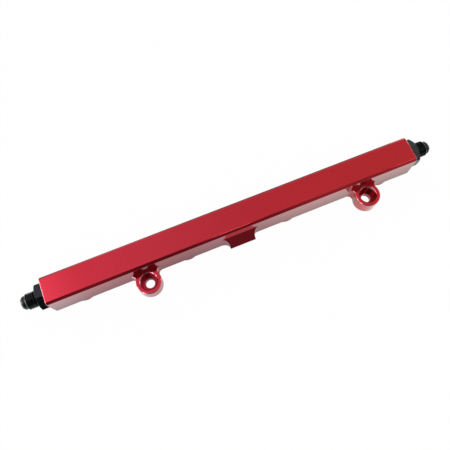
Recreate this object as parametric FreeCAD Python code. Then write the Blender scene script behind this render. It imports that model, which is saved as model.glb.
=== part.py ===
"""Fuel rail for four top-feed injectors, with two screw ears, a centre pad and two end fittings.

All lengths are in millimetres. +X runs along the rail, -Y is the side of the ears, and +Z is up.
The origin is the centre of the rail body's flat underside, which is also the plane that the ears sit on.
"""
import FreeCAD
import Part

import math
import os

from FreeCAD import Vector

# Rail body: one machined bar
body_length = 346.0
body_width = 25.0
body_height = 28.0
top_chamfer = 2.0
edge_break = 0.4

# Fuel gallery: one bore along the whole body
gallery_diameter = 15.0
gallery_height = 15.0

# Injector bosses under the body, one row on its centre line
injector_count = 4
injector_pitch = 97.0
boss_diameter = 24.6
boss_height = 5.0
injector_bore_diameter = 14.0
injector_bore_depth = 11.5
injector_lead_in = 1.5
injector_lead_in_angle = 30.0
feed_hole_diameter = 8.0

# Screw ears on the near side, flush with the underside
ear_places = (-89.0, 122.0)
ear_reach = 9.25
ear_radius = 11.2
ear_height = 14.0
ear_root_fillet = 4.0
ear_edge_break = 0.6
screw_hole_diameter = 8.4
counterbore_diameter = 15.0
counterbore_depth = 9.0

# Centre pad on the near side: a ridge with one face sloping down and one sloping up to its nose
pad_place = 0.0
pad_width = 24.0
pad_reach = 8.0
pad_root_fillet = 6.0
pad_slope_angle = 45.0
pad_nose_flat = 0.5

# Threaded port with a conical seal seat at each end of the gallery
port_thread_diameter = 19.05
port_depth = 14.0
seat_cone_angle = 12.0

# Seal ring under the hexagon of each fitting
seal_section = 2.1
seal_clearance = 0.05
seal_side_room = 0.25

# End fitting: port thread, hexagon and a male 37 degree flare end
neck_diameter = 16.4
thread_clearance = 0.12
shank_length = 12.0
thread_end_chamfer = 0.9
hexagon_across_flats = 22.2
hexagon_length = 7.0
hexagon_chamfer_angle = 30.0
hexagon_face_inset = 0.4
hexagon_turn_left = 16.0
hexagon_turn_right = 0.0
flare_length = 14.1
flare_thread_diameter = 14.28
relief_diameter = 12.4
relief_length = 1.8
nose_diameter = 12.0
nose_tip_diameter = 9.4
nose_land_length = 2.0
flare_cone_angle = 37.0
flare_bore_diameter = 7.6
port_end_bore_diameter = 11.0
port_end_bore_depth = 11.0

# Worked out from the sizes above
side_face = -body_width / 2.0
end_face = body_length / 2.0
ear_line = side_face - ear_reach
root_depth = body_width / 4.0
seal_radius = neck_diameter / 2.0 + seal_clearance + seal_section / 2.0
seat_depth = seal_section + 2.0 * seal_side_room
hexagon_corner_radius = hexagon_across_flats / 2.0 / math.cos(math.pi / 6.0)

# Lengths that differ by less than this are the same
SAME = 1e-6

X_AXIS = Vector(1, 0, 0)
Y_AXIS = Vector(0, 1, 0)
Z_AXIS = Vector(0, 0, 1)


def prism(points, along):
    """A solid with a polygon for its base, drawn out along a vector."""
    wire = Part.makePolygon([Vector(*p) for p in points + points[:1]])
    return Part.Face(wire).extrude(along)


def turned(profile):
    """A solid turned about X from (x, radius) points; the profile closes on the axis."""
    points = [(profile[0][0], 0.0)] + list(profile) + [(profile[-1][0], 0.0)]
    wire = Part.makePolygon([Vector(x, 0, r) for x, r in points + points[:1]])
    return Part.Face(wire).revolve(Vector(0, 0, 0), X_AXIS, 360.0)


def upright_cylinder(diameter, x, y, low, high):
    """A cylinder along Z between two heights."""
    return Part.makeCylinder(diameter / 2.0, high - low, Vector(x, y, low), Z_AXIS)


def upright_cone(low_diameter, high_diameter, x, y, low, high):
    """A cone frustum along Z between two heights."""
    return Part.makeCone(low_diameter / 2.0, high_diameter / 2.0, high - low, Vector(x, y, low), Z_AXIS)


def injector_places():
    """The X of each injector, spread evenly about the middle of the body."""
    first = -injector_pitch * (injector_count - 1) / 2.0
    return [first + i * injector_pitch for i in range(injector_count)]


def body_bar():
    """The bar with its two long top edges and its end outlines chamfered."""
    half = body_width / 2.0
    outline = [
        (-end_face, -half, 0.0),
        (-end_face, half, 0.0),
        (-end_face, half, body_height - top_chamfer),
        (-end_face, half - top_chamfer, body_height),
        (-end_face, -half + top_chamfer, body_height),
        (-end_face, -half, body_height - top_chamfer),
    ]
    bar = prism(outline, Vector(body_length, 0, 0))
    end_edges = [e for e in bar.Edges if abs(abs(e.CenterOfMass.x) - end_face) < SAME]
    return bar.makeChamfer(edge_break, end_edges)


def injector_boss(x):
    """The round boss that carries one injector cup, rooted in the body and broken at its lower edge."""
    straight = upright_cylinder(boss_diameter, x, 0.0, edge_break - boss_height, edge_break)
    rim = upright_cone(boss_diameter - 2.0 * edge_break, boss_diameter, x, 0.0, -boss_height, edge_break - boss_height)
    return straight.fuse(rim)


def injector_cup(x):
    """The space for one injector top: a cup open downwards with a lead-in, and a feed hole to the gallery."""
    mouth = -boss_height
    roof = mouth + injector_bore_depth
    cup = upright_cylinder(injector_bore_diameter, x, 0.0, mouth, roof)
    wide = injector_bore_diameter + 2.0 * injector_lead_in * math.tan(math.radians(injector_lead_in_angle))
    lead_in = upright_cone(wide, injector_bore_diameter, x, 0.0, mouth, mouth + injector_lead_in)
    feed = upright_cylinder(feed_hole_diameter, x, 0.0, roof - edge_break, gallery_height)
    return cup.fuse([lead_in, feed])


def ear_outline(x):
    """The plan outline of one ear: a round end, with a hollow fillet each side where it meets the body."""
    reach = ear_radius + ear_root_fillet
    spread = math.sqrt(reach**2 - (ear_reach - ear_root_fillet) ** 2)
    middle = Vector(x, ear_line, 0)
    edges = []
    ends = []
    for side in (-1.0, 1.0):
        hollow = Vector(x + side * spread, side_face - ear_root_fillet, 0)
        to_ear = (middle - hollow).normalize()
        halfway = (to_ear + Y_AXIS).normalize()
        start = hollow + Y_AXIS * ear_root_fillet
        touch = hollow + to_ear * ear_root_fillet
        edges.append(Part.Arc(start, hollow + halfway * ear_root_fillet, touch).toShape())
        ends.append((start, touch))
    tip = Vector(x, ear_line - ear_radius, 0)
    edges.append(Part.Arc(ends[0][1], tip, ends[1][1]).toShape())
    root = [Vector(p.x, p.y + root_depth, 0) for p in (ends[0][0], ends[1][0])]
    edges.append(Part.LineSegment(ends[0][0], root[0]).toShape())
    edges.append(Part.LineSegment(root[0], root[1]).toShape())
    edges.append(Part.LineSegment(root[1], ends[1][0]).toShape())
    return Part.Wire(Part.__sortEdges__(edges))


def mounting_ear(x):
    """One ear, drawn up from the underside, with its upper outline broken."""
    ear = Part.Face(ear_outline(x)).extrude(Vector(0, 0, ear_height))
    upper = [
        e
        for e in ear.Edges
        if abs(e.CenterOfMass.z - ear_height) < SAME and e.CenterOfMass.y < side_face - SAME
    ]
    return ear.makeChamfer(ear_edge_break, upper)


def screw_passage(x):
    """The screw's hole through one ear, with the head's counterbore above it and a broken mouth."""
    floor = ear_height - counterbore_depth
    hole = upright_cylinder(screw_hole_diameter, x, ear_line, -ear_edge_break, ear_height)
    head = upright_cylinder(counterbore_diameter, x, ear_line, floor, body_height)
    wide = counterbore_diameter + 2.0 * ear_edge_break
    mouth = upright_cone(counterbore_diameter, wide, x, ear_line, ear_height - ear_edge_break, ear_height)
    return hole.fuse([head, mouth])


def centre_pad():
    """The ridge between the ears: a filleted plan outline, cut to a slope above and a slope below its nose."""
    fillet = min(pad_root_fillet, pad_reach)
    half = pad_width / 2.0
    rise = pad_reach * math.tan(math.radians(pad_slope_angle))
    height = 2.0 * rise + pad_nose_flat
    nose = side_face - pad_reach
    root = side_face + root_depth
    edges = []
    corners = []
    for side in (-1.0, 1.0):
        hollow = Vector(pad_place + side * (half + fillet), side_face - fillet, 0)
        start = hollow + Y_AXIS * fillet
        halfway = hollow + Vector(-side, 1, 0).normalize() * fillet
        touch = hollow - X_AXIS * side * fillet
        edges.append(Part.Arc(start, halfway, touch).toShape())
        corners.append((start, touch, Vector(touch.x, nose, 0), Vector(start.x, root, 0)))
    (start_a, touch_a, nose_a, root_a), (start_b, touch_b, nose_b, root_b) = corners
    straights = [(root_a, start_a), (nose_a, nose_b), (start_b, root_b), (root_b, root_a)]
    if pad_reach > fillet:
        straights += [(touch_a, nose_a), (touch_b, nose_b)]
    edges += [Part.LineSegment(p, q).toShape() for p, q in straights]
    plan = Part.Face(Part.Wire(Part.__sortEdges__(edges))).extrude(Vector(0, 0, height))
    reach_x = half + fillet + edge_break
    section = [
        (pad_place - reach_x, root, 0.0),
        (pad_place - reach_x, side_face, 0.0),
        (pad_place - reach_x, nose, rise),
        (pad_place - reach_x, nose, rise + pad_nose_flat),
        (pad_place - reach_x, side_face, height),
        (pad_place - reach_x, root, height),
    ]
    return plan.common(prism(section, Vector(2.0 * reach_x, 0, 0)))


def port_space():
    """The space of one port, opening at x = 0 and running to -X: the thread's bore and the cone for the seal."""
    slope = math.tan(math.radians(seat_cone_angle))
    room = (seal_section / 2.0 + seal_clearance) / math.cos(math.radians(seat_cone_angle))
    middle = seal_radius + room
    mouth = middle + seat_depth / 2.0 * slope
    bottom = middle - seat_depth / 2.0 * slope
    bore = turned([(-port_depth, port_thread_diameter / 2.0), (0.0, port_thread_diameter / 2.0)])
    seat = turned([(-seat_depth, bottom), (0.0, mouth)])
    return bore.fuse(seat)


def hexagon():
    """The hexagon with a corner upwards, its outer corners turned off to a cone."""
    points = []
    for i in range(6):
        angle = math.pi / 2.0 + i * math.pi / 3.0
        points.append((0.0, hexagon_corner_radius * math.cos(angle), hexagon_corner_radius * math.sin(angle)))
    face_radius = hexagon_across_flats / 2.0 - hexagon_face_inset
    run = (hexagon_corner_radius - face_radius) * math.tan(math.radians(hexagon_chamfer_angle))
    limit = turned(
        [
            (0.0, hexagon_corner_radius),
            (hexagon_length - run, hexagon_corner_radius),
            (hexagon_length, face_radius),
        ]
    )
    return prism(points, Vector(hexagon_length, 0, 0)).common(limit)


def end_fitting():
    """One fitting about the X axis, its hexagon's inner face at x = 0 and its flare nose at +X."""
    shank_radius = port_thread_diameter / 2.0 - thread_clearance
    neck = neck_diameter / 2.0
    shank = turned(
        [
            (-shank_length, shank_radius - thread_end_chamfer),
            (thread_end_chamfer - shank_length, shank_radius),
            (-seat_depth, shank_radius),
            (-seat_depth, neck),
            (edge_break, neck),
        ]
    )
    tip = hexagon_length + flare_length
    nose = nose_diameter / 2.0
    nose_tip = nose_tip_diameter / 2.0
    cone_run = (nose - nose_tip) / math.tan(math.radians(flare_cone_angle))
    thread = flare_thread_diameter / 2.0
    thread_end = tip - cone_run - nose_land_length
    relief = relief_diameter / 2.0
    relief_end = hexagon_length + relief_length
    flare = turned(
        [
            (hexagon_length - edge_break, relief),
            (relief_end, relief),
            (relief_end + thread - relief, thread),
            (thread_end - (thread - nose), thread),
            (thread_end, nose),
            (tip - cone_run, nose),
            (tip, nose_tip),
        ]
    )
    bore = turned([(-shank_length, flare_bore_diameter / 2.0), (tip, flare_bore_diameter / 2.0)])
    wide = port_end_bore_diameter / 2.0
    wide_bore = turned([(-shank_length, wide), (port_end_bore_depth - shank_length, wide)])
    return hexagon().fuse([shank, flare]).cut(bore.fuse(wide_bore)).removeSplitter()


def seal_ring():
    """One round-section seal ring about the X axis, in the middle of the fitting's neck."""
    return Part.makeTorus(seal_radius, seal_section / 2.0, Vector(-seat_depth / 2.0, 0, 0), X_AXIS)


def placed_at_end(shape, end, turn=0.0):
    """A copy of something made about the X axis, turned about it and set at the right (+1) or left (-1) end."""
    copy = shape.copy()
    if end < 0:
        copy.rotate(Vector(0, 0, 0), Z_AXIS, 180.0)
    copy.rotate(Vector(0, 0, 0), X_AXIS, turn)
    copy.translate(Vector(end * end_face, 0, gallery_height))
    return copy


def rail_body():
    """The whole machined rail: bar, bosses, ears and pad in one piece, with every passage cut."""
    added = [injector_boss(x) for x in injector_places()]
    added += [mounting_ear(x) for x in ear_places]
    added.append(centre_pad())
    solid = body_bar().fuse(added).removeSplitter()
    gallery = Part.makeCylinder(gallery_diameter / 2.0, body_length, Vector(-end_face, 0, gallery_height), X_AXIS)
    passages = [gallery]
    passages += [injector_cup(x) for x in injector_places()]
    passages += [screw_passage(x) for x in ear_places]
    passages += [placed_at_end(port_space(), end) for end in (-1, 1)]
    return solid.cut(passages).removeSplitter()


def nodes():
    """Every piece of the rail by its name."""
    made = {"rail_body": rail_body()}
    for end, side, turn in ((-1, "left", hexagon_turn_left), (1, "right", hexagon_turn_right)):
        made["end_fitting_" + side] = placed_at_end(end_fitting(), end, turn)
        made["fitting_seal_" + side] = placed_at_end(seal_ring(), end)
    return made


def main():
    """Writes one STEP file for each piece, and prints what it holds."""
    os.makedirs("parts", exist_ok=True)
    for name, shape in nodes().items():
        shape.exportStep(os.path.join("parts", name + ".step"))
        box = shape.BoundBox
        print(
            f"{name}: solids {len(shape.Solids)}, valid {shape.isValid()}, volume {shape.Volume / 1000.0:.2f} cm3, "
            f"x {box.XMin:.2f}..{box.XMax:.2f}, y {box.YMin:.2f}..{box.YMax:.2f}, z {box.ZMin:.2f}..{box.ZMax:.2f}"
        )


main()
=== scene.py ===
"""The looks of a fuel rail: a red anodised, machined rail with a black anodised flare fitting in each end.

All places are in metres in the rail's own frame: +X runs along the rail, -Y is the side of its two ears, and
+Z is up, away from the injectors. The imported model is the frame, and each piece takes its place from it.
"""

import logging
import math
from dataclasses import dataclass, replace
from enum import Enum
from typing import Any

import bmesh
import bpy
import numpy as np
from mathutils import Matrix, Vector


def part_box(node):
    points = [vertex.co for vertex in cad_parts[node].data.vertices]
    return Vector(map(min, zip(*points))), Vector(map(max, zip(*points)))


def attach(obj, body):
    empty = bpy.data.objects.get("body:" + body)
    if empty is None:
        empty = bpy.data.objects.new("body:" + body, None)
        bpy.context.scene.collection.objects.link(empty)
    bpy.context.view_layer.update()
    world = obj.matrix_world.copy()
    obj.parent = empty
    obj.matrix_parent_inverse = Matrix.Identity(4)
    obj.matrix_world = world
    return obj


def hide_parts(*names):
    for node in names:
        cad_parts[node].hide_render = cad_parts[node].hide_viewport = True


Tree = bpy.types.NodeTree
Socket = bpy.types.NodeSocket
Levels = tuple[tuple[float, float, float, float], ...]

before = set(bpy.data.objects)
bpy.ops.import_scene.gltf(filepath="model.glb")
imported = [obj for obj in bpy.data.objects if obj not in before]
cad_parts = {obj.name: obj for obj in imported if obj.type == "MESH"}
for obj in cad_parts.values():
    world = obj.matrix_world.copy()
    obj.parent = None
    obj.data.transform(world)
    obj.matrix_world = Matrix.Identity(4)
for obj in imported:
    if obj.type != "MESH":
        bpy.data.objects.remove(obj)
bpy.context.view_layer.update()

log = logging.getLogger("fuel_rail")
BODY = "root"
FULL_TURN = 2.0 * math.pi
SIXTH_TURN = FULL_TURN / 6.0
ARC_POINTS = 33
WHITE = (1.0, 1.0, 1.0, 1.0)


def mm(value: float) -> float:
    """Turns millimetres into the scene's metres."""
    return value / 1000.0


def linear(code: str) -> tuple[float, float, float, float]:
    """Turns an sRGB hex colour into the linear colour that a shader takes.

    Args:
        code: six hex digits, with or without a leading hash.

    Returns:
        Red, green, blue and an alpha of 1. Each channel follows the sRGB curve: a straight part near black,
        and above it the power 2.4 of the offset value.
    """
    channels = [int(code.lstrip("#")[i : i + 2], 16) / 255.0 for i in (0, 2, 4)]
    red, green, blue = (c / 12.92 if c <= 0.04045 else ((c + 0.055) / 1.055) ** 2.4 for c in channels)
    return red, green, blue, 1.0


def empty_tree(block: bpy.types.ID) -> Tree:
    """Gives a new material or world a node tree with no nodes in it."""
    block.use_nodes = True
    block.node_tree.nodes.clear()
    return block.node_tree


def add_node(
    tree: Tree, kind: str, inputs: dict[str | int, Any] | None = None, **settings: Any
) -> bpy.types.Node:
    """Adds one shader node.

    Args:
        tree: the material's or world's node tree.
        kind: the node's Blender type.
        inputs: for each input, by name or number, a value to set or an output socket to link.
        settings: the node's own properties.

    Returns:
        The new node.
    """
    node = tree.nodes.new(kind)
    for name, value in settings.items():
        setattr(node, name, value)
    for name, value in (inputs or {}).items():
        if isinstance(value, Socket):
            tree.links.new(value, node.inputs[name])
        else:
            node.inputs[name].default_value = value
    return node


def calculate(tree: Tree, operation: str, *values: float | Socket) -> Socket:
    """Adds one math node for an operation on values and outputs, and returns its result."""
    return add_node(tree, "ShaderNodeMath", dict(enumerate(values)), operation=operation).outputs[0]


def noise(tree: Tree, place: Socket, size: float, detail: float, roughness: float = 0.5) -> Socket:
    """Adds a noise with features of a given size, finer by each step of detail, and returns its value."""
    inputs = {"Vector": place, "Scale": 1.0 / size, "Detail": detail, "Roughness": roughness}
    return add_node(tree, "ShaderNodeTexNoise", inputs).outputs["Fac"]


def gloss(tree: Tree, value: Socket, mean: float, spread: float, low: float, high: float) -> Socket:
    """Turns a value between low and high into a roughness that stays within the spread of its mean."""
    limits = {"From Min": low, "From Max": high, "To Min": mean - spread, "To Max": mean + spread}
    return add_node(tree, "ShaderNodeMapRange", {"Value": value, **limits}).outputs["Result"]


def grid_of(x: np.ndarray, y: np.ndarray, z: np.ndarray) -> np.ndarray:
    """Makes a grid of points from three coordinates, each given as a column, a row, a grid or one value."""
    return np.stack(np.broadcast_arrays(x, y, z), axis=2)


def grid_mesh(name: str, points: np.ndarray, closed: bool) -> bpy.types.Mesh:
    """Makes a mesh of quads from a grid of points.

    Args:
        name: the mesh's name.
        points: an array of rows by columns by 3. Seen from outside, columns run to the left of rows.
        closed: whether the last row joins the first, and the last column too.

    Returns:
        The mesh. Quad (i, j) joins the points (i, j), (i, j+1), (i+1, j+1) and (i+1, j), counted round
        where the grid is closed.
    """
    rows, columns = points.shape[:2]
    left_out = 0 if closed else 1
    i, j = np.meshgrid(np.arange(rows - left_out), np.arange(columns - left_out), indexing="ij")
    i, j = i.ravel(), j.ravel()
    after_i, after_j = (i + 1) % rows, (j + 1) % columns
    corners = (i * columns + j, i * columns + after_j, after_i * columns + after_j, after_i * columns + j)
    mesh = bpy.data.meshes.new(name)
    mesh.from_pydata(points.reshape(-1, 3).tolist(), [], np.stack(corners, axis=1).tolist())
    mesh.validate()
    return mesh


def shade(mesh: bpy.types.Mesh, crease: float) -> None:
    """Shades a mesh smooth, apart from edges that turn by more than the crease angle in radians."""
    mesh.polygons.foreach_set("use_smooth", np.ones(len(mesh.polygons), dtype=bool))
    mesh.set_sharp_from_angle(angle=crease)


def new_object(name: str, mesh: bpy.types.Mesh) -> bpy.types.Object:
    """Links a mesh into the scene as an object at the origin."""
    piece = bpy.data.objects.new(name, mesh)
    bpy.context.scene.collection.objects.link(piece)
    return piece


class Grain(Enum):
    """The way in which a cutting tool left its fine marks."""

    MILLED = "lines along the rail"
    TURNED = "rings about the rail's axis"
    BORED = "rings about the upright line through a given point"


class End(Enum):
    """The two ends of the rail, as the sign of X on each."""

    LEFT = -1
    RIGHT = 1


# How far each fitting's hexagon stands from upright, which depends on where its thread came tight
HEXAGON_TURNS = {End.LEFT: math.radians(16.0), End.RIGHT: 0.0}


@dataclass(frozen=True)
class AnodisedAluminium:
    """Machined aluminium, brightened and then dyed and sealed by anodising.

    The dye sits in a clear oxide layer on the metal, so the colour is a metal's, saturated where it is seen
    face on and paler at a glancing view, under a thin glassy coat. Tool marks stay faintly visible under it.

    Attributes:
        name: the material's name.
        face: the colour seen face on.
        shadow_face: the slightly deeper colour where the dye took more.
        roughness: the mean roughness of the surface.
        roughness_spread: how far tool marks move it up and down.
        grain: how the tool marks run.
        mark_spacing: the distance between tool marks. Real ones are near 0.1 mm, which is too fine to show,
            so they are drawn coarser.
        mark_length: how long one mark stays visible.
        mark_depth: the height of the marks in the bump.
        coat: the weight of the clear oxide coat.
        centre: the point that bored rings run about.
        drift: the length over which the dye's strength drifts.
        coat_roughness: the sealed oxide's roughness, less than that of the metal under it.
        coat_index: the oxide's refractive index. The real one is near 1.6. This one is lower, so that the
            studio shows in the coat as faintly as it does in the photo.
    """

    name: str
    face: str
    shadow_face: str
    roughness: float
    roughness_spread: float
    grain: Grain
    mark_spacing: float
    mark_length: float
    mark_depth: float
    coat: float
    centre: tuple[float, float] = (0.0, 0.0)
    drift: float = mm(35.0)
    coat_roughness: float = 0.06
    coat_index: float = 1.36

    def along_marks(self, tree: Tree, place: Socket) -> Socket:
        """Turns a place on the piece into a place in the noise, which is drawn out along the tool marks.

        Args:
            tree: the material's node tree.
            place: the place on the piece.

        Returns:
            For straight marks and rings about the rail's axis, the place with each axis scaled by itself. For
            bored rings, the distance from the upright line, and the height.
        """
        across, along = 1.0 / self.mark_spacing, 1.0 / self.mark_length
        if self.grain is not Grain.BORED:
            scale = (along, across, across) if self.grain is Grain.MILLED else (across, along, along)
            return add_node(tree, "ShaderNodeMapping", {"Vector": place, "Scale": scale}).outputs["Vector"]
        line = (-self.centre[0], -self.centre[1], 0.0)
        from_line = add_node(tree, "ShaderNodeMapping", {"Vector": place, "Location": line}).outputs["Vector"]
        flat = add_node(
            tree, "ShaderNodeVectorMath", {0: from_line, 1: (across, across, 0.0)}, operation="MULTIPLY"
        ).outputs["Vector"]
        away = add_node(tree, "ShaderNodeVectorMath", {0: flat}, operation="LENGTH").outputs["Value"]
        height = add_node(tree, "ShaderNodeSeparateXYZ", {"Vector": from_line}).outputs["Z"]
        up = calculate(tree, "MULTIPLY", height, across)
        return add_node(tree, "ShaderNodeCombineXYZ", {"X": away, "Y": up}).outputs["Vector"]

    def material(self) -> bpy.types.Material:
        """Builds the material's nodes.

        Returns:
            A metal whose roughness and bump follow noise that is stretched along the tool marks, and whose
            colour drifts between its two shades over a few centimetres.
        """
        material = bpy.data.materials.new(self.name)
        tree = empty_tree(material)
        place = add_node(tree, "ShaderNodeTexCoord").outputs["Object"]
        marks = noise(tree, self.along_marks(tree, place), size=1.0, detail=3.0, roughness=0.6)
        drift = noise(tree, place, self.drift, detail=2.0)
        colour = add_node(
            tree,
            "ShaderNodeMix",
            {"Factor": drift, 6: linear(self.face), 7: linear(self.shadow_face)},
            data_type="RGBA",
        ).outputs[2]
        roughness = gloss(tree, marks, self.roughness, self.roughness_spread, low=0.3, high=0.7)
        relief = add_node(
            tree, "ShaderNodeBump", {"Height": marks, "Strength": 1.0, "Distance": self.mark_depth}
        ).outputs["Normal"]
        shader = add_node(
            tree,
            "ShaderNodeBsdfPrincipled",
            {
                "Base Color": colour,
                "Metallic": 1.0,
                "Roughness": roughness,
                "Normal": relief,
                "Coat Weight": self.coat,
                "Coat Roughness": self.coat_roughness,
                "Coat IOR": self.coat_index,
            },
        )
        add_node(tree, "ShaderNodeOutputMaterial", {"Surface": shader.outputs["BSDF"]})
        return material


@dataclass(frozen=True)
class NitrileRubber:
    """Moulded nitrile rubber: near black and satin, with a fine moulded bloom.

    Attributes:
        name: the material's name.
        colour: its colour.
        roughness: its mean roughness.
        roughness_spread: how far the bloom moves it up and down.
        bloom: the size of the bloom's spots.
        index: its refractive index.
    """

    name: str
    colour: str
    roughness: float
    roughness_spread: float = 0.1
    bloom: float = mm(0.5)
    index: float = 1.52

    def material(self) -> bpy.types.Material:
        """Builds the material's nodes.

        Returns:
            A dielectric whose roughness varies with the bloom.
        """
        material = bpy.data.materials.new(self.name)
        tree = empty_tree(material)
        place = add_node(tree, "ShaderNodeTexCoord").outputs["Object"]
        bloom = noise(tree, place, self.bloom, detail=2.0)
        roughness = gloss(tree, bloom, self.roughness, self.roughness_spread, low=0.0, high=1.0)
        shader = add_node(
            tree,
            "ShaderNodeBsdfPrincipled",
            {"Base Color": linear(self.colour), "Roughness": roughness, "IOR": self.index},
        )
        add_node(tree, "ShaderNodeOutputMaterial", {"Surface": shader.outputs["BSDF"]})
        return material


# The milled faces: deep red dye under a full coat, so they mirror the studio with a soft edge
RED_ANODISED = AnodisedAluminium(
    name="red_anodised_aluminium",
    face="C4182C",
    shadow_face="BF1529",
    roughness=0.17,
    roughness_spread=0.03,
    grain=Grain.MILLED,
    mark_spacing=mm(0.5),
    mark_length=mm(30.0),
    mark_depth=mm(0.002),
    coat=1.0,
)
# The screw pockets: rings from the counterbore tool make them duller than the milled faces, and their darker
# colour is painted shade inside the recess
RED_BORED = replace(
    RED_ANODISED,
    name="red_anodised_bore_shaded",
    # painted shade: darker than the milled faces' colour
    face="A01225",
    shadow_face="941022",
    roughness=0.22,
    roughness_spread=0.05,
    grain=Grain.BORED,
    mark_spacing=mm(0.6),
    mark_depth=mm(0.012),
    coat=0.5,
)
# The small chamfers: the oxide is strained over a sharp edge and takes less dye, so they show as paler lines.
# The paler colour is also a painted highlight, which stands in for the bright lines that these edges catch
RED_EDGE_AND_HIGHLIGHT = replace(
    RED_ANODISED,
    name="red_anodised_edge_and_highlight",
    face="CE7A86",
    shadow_face="C86E7B",
    roughness=0.2,
)
# The fittings: black dye on turned metal, satin, with highlights that run round the axis
BLACK_ANODISED = AnodisedAluminium(
    name="black_anodised_aluminium",
    face="1E2022",
    shadow_face="17191B",
    roughness=0.24,
    roughness_spread=0.05,
    grain=Grain.TURNED,
    mark_spacing=mm(0.3),
    mark_length=mm(12.0),
    mark_depth=mm(0.003),
    coat=0.45,
)
# The seal rings: matt beside the metal, with no clear reflection
SEAL_RUBBER = NitrileRubber(name="seal_rubber", colour="1B1B1C", roughness=0.5)


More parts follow.
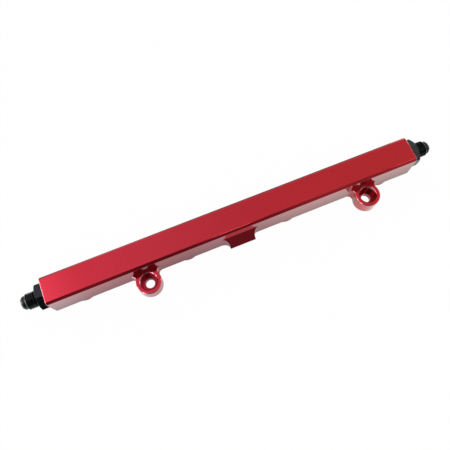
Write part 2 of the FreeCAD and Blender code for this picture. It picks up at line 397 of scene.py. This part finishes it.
@dataclass
class RailBody:
    """The machined rail, from the frame's own solid, with the edges on its outline broken to a small radius.

    Attributes:
        node: the frame's node.
        same_point: corners closer than this are one corner.
        flat_angle: faces that meet at less than this angle are one flat face.
        cut_angle: edges that turn by more than this are cut edges. They are rounded or stay crisp.
        edge_radius: how far the rounding reaches from a cut edge.
        top_edge_radius: how far it reaches from the long edges between the top and its chamfers.
        long_edge: a longer edge of the top is one of those.
        shortest_edge: a cut edge that meets a shorter one than this stays crisp.
        rounding_steps: how many faces there are across a rounding.
        ports_half_width: edges less far than this from the middle plane, between the bosses and the top,
            belong to the ports.
        outline_zone: how near an edge lies to the box to be on the outline.
        top_zone: the same below the top, with room for the chamfers.
        pocket_centres: the upright lines of the two screw pockets.
        pocket_radius: their radius.
        pocket_margin: how far a face's centre may lie past the pocket's wall, and lies inside its mouth.
        ear_top: the height of the ears' upper faces.
        ear_break: the size of the chamfers on the ears' upper edges.
        end_break: the size of the chamfers on the rail's ends.
        square_on: a face is square to an axis where its normal has more than this along it.
        upward: a face slopes up where its normal has more than this upwards.
    """

    node: str = "rail_body"
    same_point: float = mm(0.0005)
    flat_angle: float = math.radians(0.1)
    cut_angle: float = math.radians(30.0)
    edge_radius: float = mm(0.18)
    top_edge_radius: float = mm(0.5)
    long_edge: float = mm(75.0)
    shortest_edge: float = mm(0.45)
    rounding_steps: int = 4
    ports_half_width: float = mm(11.0)
    outline_zone: float = mm(0.5)
    top_zone: float = mm(2.5)
    pocket_centres: tuple[tuple[float, float], ...] = (
        (mm(-89.0), mm(-21.75)),
        (mm(122.0), mm(-21.75)),
    )
    pocket_radius: float = mm(7.5)
    pocket_margin: float = mm(0.05)
    ear_top: float = mm(14.0)
    ear_break: float = mm(0.6)
    end_break: float = mm(0.4)
    square_on: float = 0.9
    upward: float = 0.5

    def rounding_of(self, edge: bmesh.types.BMEdge, low: Vector, high: Vector) -> float:
        """Says how far the rounding reaches from an edge of the solid.

        Args:
            edge: an edge of the cleared solid.
            low: the lowest corner of the rail's box.
            high: its highest corner.

        Returns:
            The reach. It is 0 on an edge that isn't a cut one, in the ports, on the ears and the pad, where
            the bosses meet the bar, and where an edge that meets this one is too short to hold a rounding.
        """
        middle = (edge.verts[0].co + edge.verts[1].co) / 2.0
        near = self.outline_zone
        in_port = abs(middle.y) < self.ports_half_width and low.z + near < middle.z < high.z - near
        by_end = min(middle.x - low.x, high.x - middle.x) < near
        on_outline = by_end or not low.z + near < middle.z < high.z - self.top_zone
        meeting = min(other.calc_length() for vert in edge.verts for other in vert.link_edges)
        is_cut = edge.calc_face_angle(0.0) >= self.cut_angle
        if in_port or not on_outline or not is_cut or meeting < self.shortest_edge:
            return 0.0
        on_top = min(vert.co.z for vert in edge.verts) > high.z - self.same_point
        along_top = on_top and edge.calc_length() > self.long_edge
        return self.top_edge_radius if along_top else self.edge_radius

    def build(self) -> bpy.types.Object:
        """Joins the solid's loose triangles, clears the lines inside flat faces and rounds the outline.

        Returns:
            The piece that stands for the frame's node. Its cut edges that aren't rounded are shaded crisp.
        """
        source = bmesh.new()
        source.from_mesh(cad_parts[self.node].data)
        bmesh.ops.remove_doubles(source, verts=source.verts, dist=self.same_point)
        bmesh.ops.dissolve_limit(source, angle_limit=self.flat_angle, verts=source.verts, edges=source.edges)
        weight = source.edges.layers.float.new("bevel_weight_edge")
        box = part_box(self.node)
        for face in source.faces:
            face.smooth = True
        for edge in source.edges:
            reach = self.rounding_of(edge, *box)
            edge[weight] = reach / self.top_edge_radius
            edge.smooth = reach > 0.0 or edge.calc_face_angle(0.0) < self.cut_angle
        mesh = bpy.data.meshes.new("machined_rail")
        source.to_mesh(mesh)
        source.free()
        mesh.materials.clear()
        piece = new_object("machined_rail", mesh)
        rounding = piece.modifiers.new("broken_edges", "BEVEL")
        rounding.width = self.top_edge_radius
        rounding.segments = self.rounding_steps
        rounding.limit_method = "WEIGHT"
        rounding.use_clamp_overlap = False
        evened = piece.modifiers.new("flat_faces_stay_flat", "WEIGHTED_NORMAL")
        evened.mode = "FACE_AREA"
        evened.weight = 100
        evened.keep_sharp = True
        return piece

    def dress(self, piece: bpy.types.Object) -> None:
        """Gives the piece its finishes and its place on the body.

        The ears' upper chamfers and the ends' take the paler colour of an edge, which is partly thinner dye
        and partly a painted highlight. The screw pockets and their holes, which are bored after the faces are
        milled, take a rougher one, whose darker colour is painted shade inside the pockets.

        Args:
            piece: the piece that build made.
        """
        mesh = piece.data
        mesh.materials.append(RED_ANODISED.material())
        mesh.materials.append(RED_EDGE_AND_HIGHLIGHT.material())
        faces = len(mesh.polygons)
        centres, normals = np.empty(3 * faces), np.empty(3 * faces)
        mesh.polygons.foreach_get("center", centres)
        mesh.polygons.foreach_get("normal", normals)
        centres, normals = centres.reshape(-1, 3), normals.reshape(-1, 3)
        finish = np.zeros(faces, dtype=np.int32)
        half_ear = self.ear_top / 2.0
        in_ear = np.abs(centres[:, 2] - half_ear) < half_ear - self.pocket_margin
        for number, (x, y) in enumerate(self.pocket_centres, start=2):
            bored = replace(RED_BORED, name=f"{RED_BORED.name}_{number - 1}", centre=(x, y))
            mesh.materials.append(bored.material())
            away = np.hypot(centres[:, 0] - x, centres[:, 1] - y)
            # painted shade: the pockets take the darker bored colour
            finish[in_ear & (away < self.pocket_radius + self.pocket_margin)] = number
        depth = self.ear_top - centres[:, 2]
        sloping_up = (normals[:, 2] > self.upward) & (normals[:, 2] < self.square_on)
        # painted highlight, with thinner dye: the ears' upper chamfers take the paler edge colour
        finish[(depth > 0.0) & (depth < self.ear_break) & sloping_up] = 1
        low_end, high_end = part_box(self.node)
        from_end = np.minimum(centres[:, 0] - low_end.x, high_end.x - centres[:, 0])
        off_end = np.abs(normals[:, 0]) < self.square_on
        # painted highlight, with thinner dye: the ends' chamfers take the paler edge colour too
        finish[(from_end > 0.0) & (from_end < self.end_break) & off_end] = 1
        mesh.polygons.foreach_set("material_index", finish)
        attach(piece, BODY)
        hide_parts(self.node)


class Surface(Enum):
    """What a stretch of the fitting's profile carries."""

    PLAIN = "a surface of revolution"
    HEXAGON = "six flats"
    PORT_THREAD = "the thread that screws into the rail"
    FLARE_THREAD = "the thread that takes the hose nut"


@dataclass(frozen=True)
class Corner:
    """A corner of the fitting's profile and the stretch that follows it.

    Attributes:
        along: distance from the hexagon's inner face towards the flare's tip.
        radius: distance from the fitting's axis.
        steps: into how many steps the stretch after the corner is divided.
        surface: what that stretch carries.
    """

    along: float
    radius: float
    steps: int = 1
    surface: Surface = Surface.PLAIN


@dataclass(frozen=True)
class Thread:
    """A right-handed 60 degree screw thread.

    Attributes:
        start: where it starts along the axis.
        end: where it ends.
        pitch: the distance from one crest to the next.
        depth: how deep it is cut, in pitches.
        crest: half the width of the crest's flat, in pitches.
        root: how far from the crest's middle the root's flat starts, in pitches.
        runout: over what length it fades in and out, in pitches.
    """

    start: float
    end: float
    pitch: float
    depth: float = 0.6134
    crest: float = 1.0 / 16.0
    root: float = 3.0 / 8.0
    runout: float = 0.5

    def groove(self, along: np.ndarray, angle: np.ndarray) -> np.ndarray:
        """Works out how deep the thread is cut at each point.

        Args:
            along: distances along the axis, as a column.
            angle: angles about the axis, as a row.

        Returns:
            The depth below the crest. The turn number is the distance over the pitch, less the angle over a
            full turn. With t the distance from the nearest crest in pitches, from 0 to a half, the groove is
            0 up to the crest's half width, grows evenly to full depth at the root and stays there. It fades
            in and out at the thread's ends.
        """
        turn = along / self.pitch - angle / FULL_TURN
        from_crest = np.abs(turn - np.round(turn))
        form = np.clip((from_crest - self.crest) / (self.root - self.crest), 0.0, 1.0)
        from_ends = np.minimum(along - self.start, self.end - along)
        fade = np.clip(from_ends / (self.runout * self.pitch), 0.0, 1.0)
        return self.depth * self.pitch * form * fade


@dataclass
class EndFitting:
    """A fitting with a port thread, a hexagon and a male 37 degree flare end, as one closed surface.

    Attributes:
        end: the end of the rail that it is screwed into.
        turned_by: how far its hexagon stands from upright, about +X.
        axis_height: the height of the gallery's axis.
        shank_length: how far it reaches into the rail.
        port_thread: outer radius of the port's thread.
        port_pitch: its pitch, 16 threads to the inch.
        port_chamfer: the chamfer at the thread's inner end.
        neck: radius of the neck that the seal ring sits on.
        neck_length: length of the neck.
        across_flats: width of the hexagon.
        hexagon_length: length of the hexagon.
        hexagon_face: radius of the flat outer face, where the hexagon's corners are turned off.
        hexagon_angle: the angle of that turned face to the outer face.
        corner_break: how much is turned off the hexagon's sharp corners.
        relief: radius of the thread relief beside the hexagon.
        relief_length: its length.
        flare_thread: outer radius of the flare end's thread.
        flare_pitch: its pitch, 18 threads to the inch.
        flare_length: length of the flare end beyond the hexagon.
        nose: radius of the land before the cone.
        nose_length: its length.
        nose_tip: radius of the cone's small end.
        cone_angle: the flare's angle to the axis.
        bore: radius of the bore through the flare end.
        wide_bore: radius of the bore in the port end.
        wide_bore_depth: its depth.
        softening: the size of the small round on every corner of the profile.
        softened_share: how much of a short stretch a round may take.
        softening_points: how many points there are on a round.
        sides: how many points there are round the axis.
        crease: edges that turn by more than this are shaded crisp.
    """

    end: End
    turned_by: float = 0.0
    axis_height: float = mm(15.0)
    shank_length: float = mm(12.0)
    port_thread: float = mm(9.405)
    port_pitch: float = mm(25.4) / 16.0
    port_chamfer: float = mm(0.9)
    neck: float = mm(8.2)
    neck_length: float = mm(2.6)
    across_flats: float = mm(22.2)
    hexagon_length: float = mm(7.0)
    hexagon_face: float = mm(10.7)
    hexagon_angle: float = math.radians(30.0)
    corner_break: float = mm(0.12)
    relief: float = mm(6.2)
    relief_length: float = mm(1.8)
    flare_thread: float = mm(7.14)
    flare_pitch: float = mm(25.4) / 18.0
    flare_length: float = mm(14.1)
    nose: float = mm(6.0)
    nose_length: float = mm(2.0)
    nose_tip: float = mm(4.7)
    cone_angle: float = math.radians(37.0)
    bore: float = mm(3.8)
    wide_bore: float = mm(5.5)
    wide_bore_depth: float = mm(11.0)
    softening: float = mm(0.15)
    softened_share: float = 0.3
    softening_points: int = 4
    sides: int = 180
    crease: float = math.radians(24.0)

    def node(self) -> str:
        """The frame's node that the piece stands for."""
        return "end_fitting_" + self.end.name.lower()

    def seat(self) -> float:
        """The X of the rail's end face, which the hexagon is screwed against."""
        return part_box("rail_body")[int(self.end is End.RIGHT)].x

    def tip(self) -> float:
        """The distance from the hexagon's inner face to the flare's tip."""
        return self.hexagon_length + self.flare_length

    def profile(self) -> list[Corner]:
        """Lists the corners of the closed profile.

        Returns:
            Corners from the port end's inner edge outwards, over the outside to the tip and back in the bore.
        """
        tip = self.tip()
        corner = self.across_flats / 2.0 / math.cos(SIXTH_TURN / 2.0) - self.corner_break
        turned_off = (corner - self.hexagon_face) * math.tan(self.hexagon_angle)
        cone_start = tip - (self.nose - self.nose_tip) / math.tan(self.cone_angle)
        land_start = cone_start - self.nose_length
        thread_end = land_start - (self.flare_thread - self.nose)
        relief_end = self.hexagon_length + self.relief_length
        thread_start = relief_end + self.flare_thread - self.relief
        bore_end = self.wide_bore_depth - self.shank_length
        return [
            Corner(-self.shank_length, self.wide_bore, 2),
            Corner(-self.shank_length, self.port_thread - self.port_chamfer),
            Corner(self.port_chamfer - self.shank_length, self.port_thread, 70, Surface.PORT_THREAD),
            Corner(-self.neck_length, self.port_thread),
            Corner(-self.neck_length, self.neck, 2),
            Corner(0.0, self.neck, 1),
            Corner(0.0, corner, 6, Surface.HEXAGON),
            Corner(self.hexagon_length - turned_off, corner, 10, Surface.HEXAGON),
            Corner(self.hexagon_length, self.hexagon_face, 3),
            Corner(self.hexagon_length, self.relief, 2),
            Corner(relief_end, self.relief),
            Corner(thread_start, self.flare_thread, 84, Surface.FLARE_THREAD),
            Corner(thread_end, self.flare_thread),
            Corner(land_start, self.nose),
            Corner(cone_start, self.nose, 3),
            Corner(tip, self.nose_tip),
            Corner(tip, self.bore, 8),
            Corner(bore_end, self.bore),
            Corner(bore_end, self.wide_bore, 6),
        ]

    def stations(self) -> tuple[np.ndarray, np.ndarray, list[Surface]]:
        """Divides the profile into stations, with its corners softened.

        Returns:
            The distance along, the radius and the surface of each station. Each corner P becomes the curve
            (1-t)(1-t)A + 2t(1-t)P + t*t*B, where A and B are a short way before and after it.
        """
        corners = self.profile()
        places = np.array([(c.along, c.radius) for c in corners])
        before = np.roll(places, 1, axis=0) - places
        after = np.roll(places, -1, axis=0) - places
        reach_before = np.linalg.norm(before, axis=1, keepdims=True)
        reach_after = np.linalg.norm(after, axis=1, keepdims=True)
        cut = np.minimum(self.softening, self.softened_share * np.minimum(reach_before, reach_after))
        starts = places + before / reach_before * cut
        ends = places + after / reach_after * cut
        t = np.linspace(0.0, 1.0, self.softening_points)[:, None]
        rows: list[np.ndarray] = []
        surfaces: list[Surface] = []
        for i, corner in enumerate(corners):
            curve = (1 - t) ** 2 * starts[i] + 2 * t * (1 - t) * places[i] + t**2 * ends[i]
            rows.append(curve)
            hexagonal = Surface.HEXAGON in (corner.surface, corners[i - 1].surface)
            surfaces += [Surface.HEXAGON if hexagonal else Surface.PLAIN] * len(t)
            inner = np.linspace(0.0, 1.0, corner.steps + 1)[1:-1, None]
            rows.append(ends[i] + (starts[(i + 1) % len(corners)] - ends[i]) * inner)
            surfaces += [corner.surface] * len(inner)
        stacked = np.concatenate(rows)
        return stacked[:, :1], stacked[:, 1:], surfaces

    def threads(self) -> dict[Surface, Thread]:
        """The fitting's two threads by their surface."""
        spans = {c.surface: (c.along, n.along) for c, n in zip(self.profile(), self.profile()[1:])}
        return {
            Surface.PORT_THREAD: Thread(*spans[Surface.PORT_THREAD], self.port_pitch),
            Surface.FLARE_THREAD: Thread(*spans[Surface.FLARE_THREAD], self.flare_pitch),
        }

    def points(self) -> np.ndarray:
        """Works out the fitting's surface in its place.

        Returns:
            A grid of points, station by angle. A point's distance from the axis is the profile's radius,
            less the thread's groove on a thread, and on the hexagon no more than half its width over the
            cosine of the angle from the nearest flat's middle. The left fitting is the right one turned half
            round.
        """
        along, radius, surfaces = self.stations()
        angle = np.arange(self.sides)[None, :] * (FULL_TURN / self.sides)
        own_turn = self.end.value * self.turned_by
        from_flat = (angle - own_turn + SIXTH_TURN / 2.0) % SIXTH_TURN - SIXTH_TURN / 2.0
        flats = self.across_flats / 2.0 / np.cos(from_flat)
        reach = np.broadcast_to(radius, (len(surfaces), self.sides)).copy()
        on_hexagon = np.array([s is Surface.HEXAGON for s in surfaces])
        reach[on_hexagon] = np.minimum(reach[on_hexagon], flats)
        for surface, thread in self.threads().items():
            rows = np.array([s is surface for s in surfaces])
            reach[rows] -= thread.groove(along[rows], angle)
        turn = self.end.value
        return grid_of(
            self.seat() + turn * along,
            turn * reach * np.cos(angle),
            self.axis_height + reach * np.sin(angle),
        )

    def build(self) -> bpy.types.Object:
        """Makes the piece from its grid of points."""
        mesh = grid_mesh(self.node() + "_turned", self.points(), closed=True)
        shade(mesh, self.crease)
        return new_object(self.node() + "_turned", mesh)

    def dress(self, piece: bpy.types.Object, finish: bpy.types.Material) -> None:
        """Gives the piece its finish and its place on the body."""
        piece.data.materials.append(finish)
        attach(piece, BODY)
        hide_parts(self.node())


@dataclass
class SealRing:
    """The round rubber ring between a fitting's neck and the cone in the rail.

    Attributes:
        end: the end of the rail that it seals.
        around: how many points there are round the rail's axis.
        section: how many points there are round the ring's section.
    """

    end: End
    around: int = 120
    section: int = 24

    def node(self) -> str:
        """The frame's node that the piece stands for."""
        return "fitting_seal_" + self.end.name.lower()

    def build(self) -> bpy.types.Object:
        """Makes the ring in the place and size of the frame's node.

        Returns:
            The piece. With R the ring's mean radius and r its section's, a point at the angles a round the
            axis and b round the section is r sin b along the axis and R + r cos b away from it.
        """
        low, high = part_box(self.node())
        thickness = (high.x - low.x) / 2.0
        mean = (high.z - low.z) / 2.0 - thickness
        centre = (low + high) / 2.0
        b = np.arange(self.section)[:, None] * (FULL_TURN / self.section)
        a = np.arange(self.around)[None, :] * (FULL_TURN / self.around)
        away = mean + thickness * np.cos(b)
        points = grid_of(
            centre.x + thickness * np.sin(b), centre.y + away * np.cos(a), centre.z + away * np.sin(a)
        )
        mesh = grid_mesh(self.node() + "_ring", points, closed=True)
        shade(mesh, math.pi)
        return new_object(self.node() + "_ring", mesh)

    def dress(self, piece: bpy.types.Object, finish: bpy.types.Material) -> None:
        """Gives the piece its finish and its place on the body."""
        piece.data.materials.append(finish)
        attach(piece, BODY)
        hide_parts(self.node())


@dataclass(frozen=True)
class Softbox:
    """A rectangular studio lamp.

    Attributes:
        name: the lamp's name.
        place: where it stands.
        power: its power in watts.
        aim: the point that it faces.
        width: its width.
        height: its height.
    """

    name: str
    place: tuple[float, float, float]
    power: float
    aim: tuple[float, float, float] = (0.0, 0.0, 0.0)
    width: float = 0.5
    height: float = 0.3

    def build(self) -> bpy.types.Object:
        """Makes the lamp."""
        lamp = bpy.data.lights.new(self.name, "AREA")
        lamp.shape = "RECTANGLE"
        lamp.size, lamp.size_y = self.width, self.height
        lamp.energy = self.power
        holder = bpy.data.objects.new(self.name, lamp)
        holder.location = self.place
        holder.rotation_euler = (Vector(self.aim) - Vector(self.place)).to_track_quat("-Z", "Y").to_euler()
        bpy.context.scene.collection.objects.link(holder)
        return holder


def only_mirrored(thing: bpy.types.Object) -> bpy.types.Object:
    """Leaves a thing of the studio to be seen in the metal alone."""
    thing.visible_camera = False
    thing.visible_diffuse = False
    thing.visible_shadow = False
    return thing


def arc(radius: float, low: float, high: float) -> tuple[tuple[float, float], ...]:
    """Lists the points of an arc over the rail.

    Args:
        radius: the arc's radius about the rail's axis.
        low: the angle in degrees where it starts, from the floor in front of the rail.
        high: the angle where it ends.

    Returns:
        The points (y, z). At the angle e, y is -radius cos e and z is radius sin e.
    """
    angles = np.linspace(math.radians(low), math.radians(high), ARC_POINTS)
    return tuple((-radius * math.cos(e), radius * math.sin(e)) for e in angles)


def grey(*levels: tuple[float, float]) -> Levels:
    """Turns pairs of a place along X and a brightness into places with a grey colour."""
    return tuple((x, level, level, level) for x, level in levels)


def even_grey(first: float, last: float, level: float) -> Levels:
    """Gives one brightness between two places along X."""
    return grey((first, level), (last, level))


@dataclass(frozen=True)
class Card:
    """A sheet of card or cloth beside the rail, drawn out along X, which the metal mirrors.

    It glows though it is no lamp, and its levels paint the light and shade that fall on the surroundings.

    Attributes:
        name: the card's name.
        section: its section, as points (y, z).
        levels: its colour at places along X, in order, as x, red, green and blue.
        painted_contact_shade: painted shade, how much darker it is made in the nook between the floor and the
            rail's front.
        nook_start: how far that nook is from the rail's middle plane.
        nook_reach: over what length its darkness falls to about a third.
    """

    name: str
    section: tuple[tuple[float, float], ...]
    levels: Levels
    painted_contact_shade: float = 0.0
    nook_start: float = mm(13.5)
    nook_reach: float = mm(16.0)

    def cloth(self) -> bpy.types.Material:
        """Makes the card's material.

        Returns:
            A glow that follows the levels from place to place. Beside the rail's front a painted shade
            multiplies it by
            1 - contact * exp((y + nook_start) / nook_reach), where y is negative.
        """
        material = bpy.data.materials.new(self.name)
        tree = empty_tree(material)
        place = add_node(tree, "ShaderNodeTexCoord").outputs["Object"]
        axes = add_node(tree, "ShaderNodeSeparateXYZ", {"Vector": place}).outputs
        first, last = self.levels[0][0], self.levels[-1][0]
        brightest = max(max(colour) for _, *colour in self.levels)
        share = add_node(
            tree, "ShaderNodeMapRange", {"Value": axes["X"], "From Min": first, "From Max": last}
        ).outputs["Result"]
        ramp = add_node(tree, "ShaderNodeValToRGB", {"Fac": share})
        ramp.color_ramp.interpolation = "CARDINAL"
        stops = ramp.color_ramp.elements
        for at, *_ in self.levels[1:-1]:
            stops.new((at - first) / (last - first))
        for stop, (_, *colour) in zip(stops, self.levels):
            stop.color = (*(c / brightest for c in colour), 1.0)
        # painted shade: the glow darkens towards the rail's front, in the nook between the floor and the rail
        from_nook = calculate(
            tree, "MULTIPLY_ADD", axes["Y"], 1.0 / self.nook_reach, self.nook_start / self.nook_reach
        )
        fall = calculate(tree, "EXPONENT", from_nook)
        level = calculate(tree, "MULTIPLY_ADD", fall, -self.painted_contact_shade * brightest, brightest)
        glow = add_node(tree, "ShaderNodeEmission", {"Color": ramp.outputs["Color"], "Strength": level})
        add_node(tree, "ShaderNodeOutputMaterial", {"Surface": glow.outputs[0]})
        return material

    def build(self) -> bpy.types.Object:
        """Makes the card."""
        y, z = np.array(self.section).T[..., None]
        x = np.array([[self.levels[0][0], self.levels[-1][0]]])
        mesh = grid_mesh(self.name, grid_of(x, y, z), closed=False)
        mesh.materials.append(self.cloth())
        return only_mirrored(new_object(self.name, mesh))


@dataclass(frozen=True)
class Window:
    """A bright upright window beside the rail, a part of a drum about Z, which only the metal mirrors.

    Attributes:
        name: the window's name.
        radius: its distance.
        azimuths: the angles of its two sides in degrees, from +X towards +Y.
        heights: the heights of its sill and its top.
        level: its brightness.
    """

    name: str
    radius: float
    azimuths: tuple[float, float]
    heights: tuple[float, float]
    level: float

    def build(self) -> bpy.types.Object:
        """Makes the window: at the azimuth a and the height h, the point (r cos a, r sin a, h)."""
        a = np.radians(np.linspace(*self.azimuths, ARC_POINTS))[:, None]
        points = grid_of(self.radius * np.cos(a), self.radius * np.sin(a), np.array([self.heights]))
        material = bpy.data.materials.new(self.name)
        tree = empty_tree(material)
        glow = add_node(tree, "ShaderNodeEmission", {"Color": WHITE, "Strength": self.level})
        add_node(tree, "ShaderNodeOutputMaterial", {"Surface": glow.outputs[0]})
        mesh = grid_mesh(self.name, points, closed=False)
        mesh.materials.append(material)
        return only_mirrored(new_object(self.name, mesh))


@dataclass
class Studio:
    """The pale floor, the lamps, the cards that the metal mirrors, and the camera.

    Attributes:
        floor_half: half the floor's width.
        floor_white: how much of the floor's look to the camera is plain white. The rest holds its shadows.
        world_level: the light that the surroundings give.
        camera_place: where the camera stands.
        camera_azimuth: its azimuth, 0 looking along +Y.
        camera_elevation: its elevation above the horizon.
        camera_roll: its turn about its own line of sight.
        camera_lens: its focal length in millimetres.
        camera_sensor: its sensor's width in millimetres.
        camera_range: the nearest and the farthest distance that it sees.
    """

    floor_half: float = 4.0
    floor_white: float = 0.98
    world_level: float = 0.85
    camera_place: tuple[float, float, float] = (mm(-61.543), mm(-134.319), mm(437.709))
    camera_azimuth: float = math.radians(-21.226)
    camera_elevation: float = math.radians(71.157)
    camera_roll: float = math.radians(1.09)
    camera_lens: float = 40.24
    camera_sensor: float = 36.0
    camera_range: tuple[float, float] = (0.01, 50.0)

    def surround(self) -> list[Card | Window]:
        """Lists what the metal mirrors.

        Returns:
            The dark cloth round the camera, which the chamfer and the corners over the ears mirror; the
            ceiling that the top mirrors, lighter over the left end; the floor before the rail, which its
            front mirrors, with painted shade in the nook at the rail's front; behind it, dimmer with painted
            shade, which the far edge mirrors; and under its ends, which the ends' chamfers and the hexagons
            mirror; two narrow lamps that draw lines on the top's front edge and the right end; and three
            windows, on the left and in front, for the fittings' noses and the ears' rims.
        """
        cloth = grey(
            (-0.7, 0.14), (-0.39, 0.155), (-0.3, 0.21), (-0.2, 0.19), (-0.15, 0.1), (-0.09, 0.14),
            (-0.02, 0.15), (0.06, 0.18), (0.2, 0.185), (0.25, 0.22), (0.3, 0.29), (0.36, 0.43), (0.43, 0.4),
            (0.5, 0.32), (0.6, 0.44), (0.9, 0.48),
        )
        ceiling = (
            (-0.7, 2.0, 2.0, 2.4), (-0.415, 1.47, 1.5, 1.75), (-0.335, 1.07, 1.04, 1.15),
            (-0.26, 1.0, 1.0, 1.14), (-0.06, 0.88, 0.93, 0.97), (0.14, 0.78, 0.767, 0.767),
            (0.4, 0.775, 0.73, 0.62), (0.9, 0.73, 0.7, 0.57),
        )
        front = (
            (-0.4, 1.3, 1.7, 1.7), (-0.19, 1.2, 1.6, 1.65), (-0.165, 1.12, 1.4, 1.45),
            (-0.144, 0.99, 1.05, 1.06), (-0.12, 0.89, 0.87, 0.92), (-0.06, 0.76, 0.7, 0.71),
            (-0.03, 0.8, 0.8, 0.85), (0.024, 0.91, 0.955, 0.98), (0.048, 1.02, 1.15, 1.1),
            (0.08, 1.1, 1.25, 1.2), (0.15, 1.09, 1.3, 1.22), (0.4, 1.2, 1.5, 1.45),
        )
        # painted shade: the floor behind the rail is dimmer than the floor before it
        back = grey(
            (-0.4, 0.45), (-0.192, 0.45), (-0.162, 0.56), (-0.133, 0.62), (-0.089, 0.58), (-0.06, 0.46),
            (-0.031, 0.38), (0.013, 0.34), (0.145, 0.34), (0.218, 0.39), (0.4, 0.39),
        )
        low = mm(-4.0)
        before_camera = arc(0.85, 42.0, 72.0)
        return [
            Card("camera_cloth", arc(0.9, 3.0, 80.0), cloth),
            Card("ceiling", arc(1.0, 80.0, 140.0), ceiling),
            # painted shade: the floor before the rail darkens towards the rail's front
            Card("floor_before", ((-0.35, low), (mm(-12.8), low)), front, painted_contact_shade=0.57),
            Card("floor_behind", ((mm(30.0), low), (0.4, low)), back),
            Card("floor_at_left_end", ((mm(-30.0), low), (0.13, low)), even_grey(-0.42, -0.23, 3.0)),
            Card("floor_at_right_end", ((mm(-2.0), low), (0.1, low)), even_grey(0.205, 0.32, 2.5)),
            Card("front_edge_lamp", before_camera, even_grey(0.05, 0.15, 2.6)),
            Card("right_edge_lamp", before_camera, even_grey(0.56, 0.68, 2.2)),
            Window("left_window", 1.0, azimuths=(150.0, 178.0), heights=(0.02, 0.45), level=6.0),
            Window("front_left_window", 1.0, azimuths=(206.0, 217.0), heights=(0.06, 0.55), level=5.5),
            Window("front_window", 1.0, azimuths=(228.0, 236.0), heights=(0.4, 0.55), level=5.5),
        ]

    def lamps(self) -> list[Softbox]:
        """Lists the studio's lamps."""
        return [
            Softbox("left_strip", place=(-0.9, 0.1, 0.16), power=2.0),
            Softbox("right_strip", place=(0.9, 0.1, 0.16), power=0.7),
        ]

    def seen(self, tree: Tree, camera: float, mirrored: float) -> Socket:
        """Tells apart the rays that look from those that only light.

        Args:
            tree: the tree to add the nodes to.
            camera: the value for rays from the camera.
            mirrored: the value for rays that come by a gloss or through glass.

        Returns:
            An output with those values, and 0 for all other rays.
        """
        path = add_node(tree, "ShaderNodeLightPath").outputs
        bounced = calculate(tree, "MAXIMUM", path["Is Glossy Ray"], path["Is Transmission Ray"])
        weighed = calculate(tree, "MULTIPLY", bounced, mirrored)
        return calculate(tree, "MULTIPLY_ADD", path["Is Camera Ray"], camera, weighed)

    def world(self) -> None:
        """Makes the surroundings: white to look at, and at a plain level as a light."""
        world = bpy.data.worlds.new("studio")
        bpy.context.scene.world = world
        tree = empty_tree(world)
        strength = add_node(
            tree,
            "ShaderNodeMapRange",
            {"Value": self.seen(tree, 1.0, 1.0), "To Min": self.world_level, "To Max": 1.0},
        ).outputs["Result"]
        light = add_node(tree, "ShaderNodeBackground", {"Color": WHITE, "Strength": strength})
        add_node(tree, "ShaderNodeOutputWorld", {"Surface": light.outputs["Background"]})

    def floor(self) -> bpy.types.Object:
        """Makes the floor at the height of the rail's lowest point.

        Returns:
            The floor. To the camera it is mostly plain white, with a trace of its shadows.
        """
        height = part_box("rail_body")[0].z
        span = np.linspace(-self.floor_half, self.floor_half, 3)
        y, x = np.meshgrid(span, span)
        mesh = grid_mesh("floor", grid_of(x, -y, np.array(height)), closed=False)
        material = bpy.data.materials.new("studio_floor")
        tree = empty_tree(material)
        matt = add_node(tree, "ShaderNodeBsdfDiffuse", {"Color": (0.9, 0.9, 0.9, 1.0)})
        white = add_node(tree, "ShaderNodeEmission", {"Color": WHITE, "Strength": 1.0})
        share = self.seen(tree, self.floor_white, 0.0)
        mixed = add_node(tree, "ShaderNodeMixShader", {0: share, 1: matt.outputs[0], 2: white.outputs[0]})
        add_node(tree, "ShaderNodeOutputMaterial", {"Surface": mixed.outputs[0]})
        mesh.materials.append(material)
        return new_object("floor", mesh)

    def camera(self) -> bpy.types.Object:
        """Makes the camera.

        Returns:
            The camera. Its axes come from its azimuth and elevation, turned by its roll about the line of
            sight.
        """
        azimuth, elevation, roll = self.camera_azimuth, self.camera_elevation, self.camera_roll
        back = Vector(
            (
                math.sin(azimuth) * math.cos(elevation),
                -math.cos(azimuth) * math.cos(elevation),
                math.sin(elevation),
            )
        )
        level = Vector((math.cos(azimuth), math.sin(azimuth), 0.0))
        down = (-back).cross(level)
        right = math.cos(roll) * level + math.sin(roll) * down
        up = math.sin(roll) * level - math.cos(roll) * down
        lens = bpy.data.cameras.new("camera")
        lens.sensor_width = self.camera_sensor
        lens.lens = self.camera_lens
        lens.clip_start, lens.clip_end = self.camera_range
        camera = bpy.data.objects.new("camera", lens)
        turn = Matrix((right, up, back)).transposed()
        camera.matrix_world = Matrix.Translation(self.camera_place) @ turn.to_4x4()
        bpy.context.scene.collection.objects.link(camera)
        bpy.context.scene.camera = camera
        return camera

    def build(self) -> None:
        """Builds the studio."""
        self.world()
        self.floor()
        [thing.build() for thing in self.surround()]
        for lamp in self.lamps():
            lamp.build()
        self.camera()
        bpy.context.scene.view_settings.view_transform = "Standard"


def report(piece: bpy.types.Object) -> None:
    """Logs what a piece measures."""
    size = ", ".join(f"{d / mm(1.0):.1f}" for d in piece.dimensions)
    log.info("%s: %d faces, %s mm", piece.name, len(piece.data.polygons), size)


def main() -> None:
    """Builds the rail's pieces in order, then the studio."""
    logging.basicConfig(level=logging.INFO, format="%(name)s: %(message)s")
    rail = RailBody()
    body = rail.build()
    rail.dress(body)
    report(body)
    black = BLACK_ANODISED.material()
    rubber = SEAL_RUBBER.material()
    for end in End:
        for maker, finish in ((EndFitting(end, HEXAGON_TURNS[end]), black), (SealRing(end), rubber)):
            piece = maker.build()
            maker.dress(piece, finish)
            report(piece)
    Studio().build()


if __name__ == "__main__":
    main()
